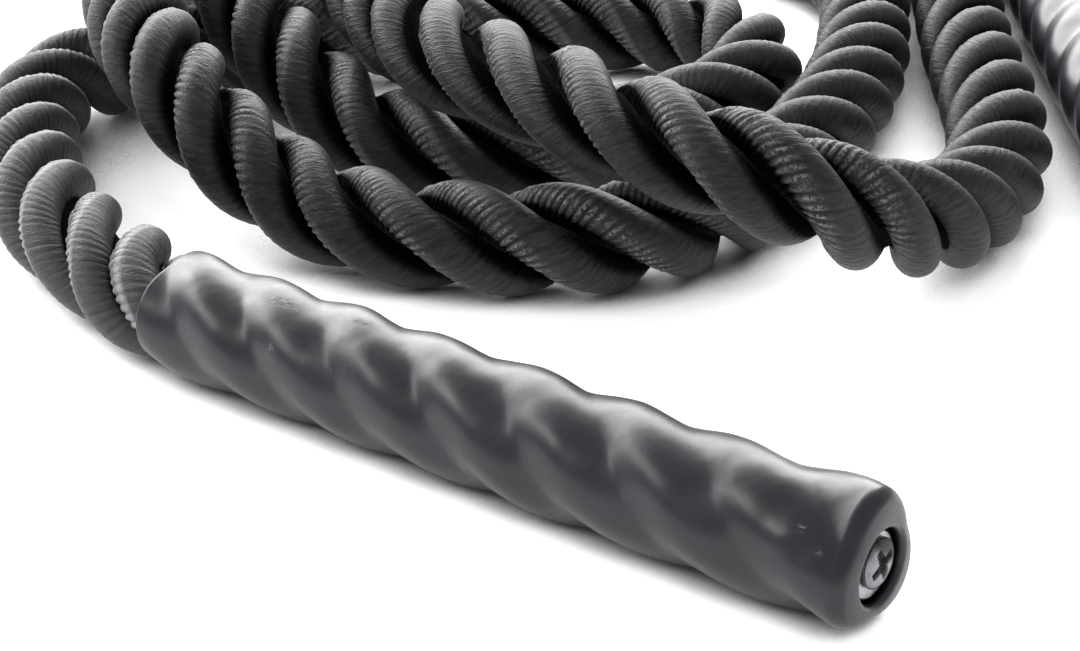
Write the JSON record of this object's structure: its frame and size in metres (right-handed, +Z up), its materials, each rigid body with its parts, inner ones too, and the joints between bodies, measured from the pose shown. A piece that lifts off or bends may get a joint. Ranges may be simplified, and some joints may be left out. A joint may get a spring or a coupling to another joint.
{
  "type": "jump rope",
  "caption": "Heavy jump rope of thick black three-strand laid rope, lying in a loose coil, with a lobed shrink-sleeve handle over each end, each closed by a recessed washer and screw.",
  "frame": {"origin": "on the floor under the middle of the box round the two handles, which lie on the same floor as the rope", "axes": "+Z up; -Y is the front, towards which both handles point; +X to the right as seen from the front, with handle a at the front left and handle b at the right"},
  "size_m": [0.311, 0.5068, 0.0576],
  "materials": {
    "shrink_sleeve": "satin-gloss black heat-shrink sleeve",
    "rope": "charcoal-black polyester yarn, laid in strands, fine ribs of yarn across each strand",
    "end_tape": "matt black adhesive tape",
    "zinc_steel": "zinc-plated steel, slightly dull"
  },
  "bodies": {
    "coil": {"rope_inner_turn": "rope", "rope_middle_turn_back": "rope", "rope_middle_turn_front": "rope", "rope_outer_turn_back": "rope", "rope_outer_turn_front": "rope", "rope_back_run": "rope"},
    "handle_a": {"handle_a_sleeve": "shrink_sleeve", "handle_a_strand_1": "rope", "handle_a_strand_2": "rope", "handle_a_strand_3": "rope", "handle_a_end_tape": "end_tape", "handle_a_washer": "zinc_steel", "handle_a_screw": "zinc_steel", "rope_lead_a": "rope"},
    "handle_b": {"handle_b_sleeve": "shrink_sleeve", "handle_b_strand_1": "rope", "handle_b_strand_2": "rope", "handle_b_strand_3": "rope", "handle_b_end_tape": "end_tape", "handle_b_washer": "zinc_steel", "handle_b_screw": "zinc_steel", "rope_lead_b": "rope"}
  },
  "joints": [
    {"name": "handle_a_lift", "type": "hinge", "parent": "coil", "child": "handle_a", "pos_m": [-0.13916, -0.02867, 0.0136], "axis": [-0.8126, -0.5828, 0], "range_deg": [0, 60]},
    {"name": "handle_b_lift", "type": "hinge", "parent": "coil", "child": "handle_b", "pos_m": [0.1112, 0.20434, 0.0136], "axis": [-0.9925, -0.1226, 0], "range_deg": [0, 60]}
  ]
}
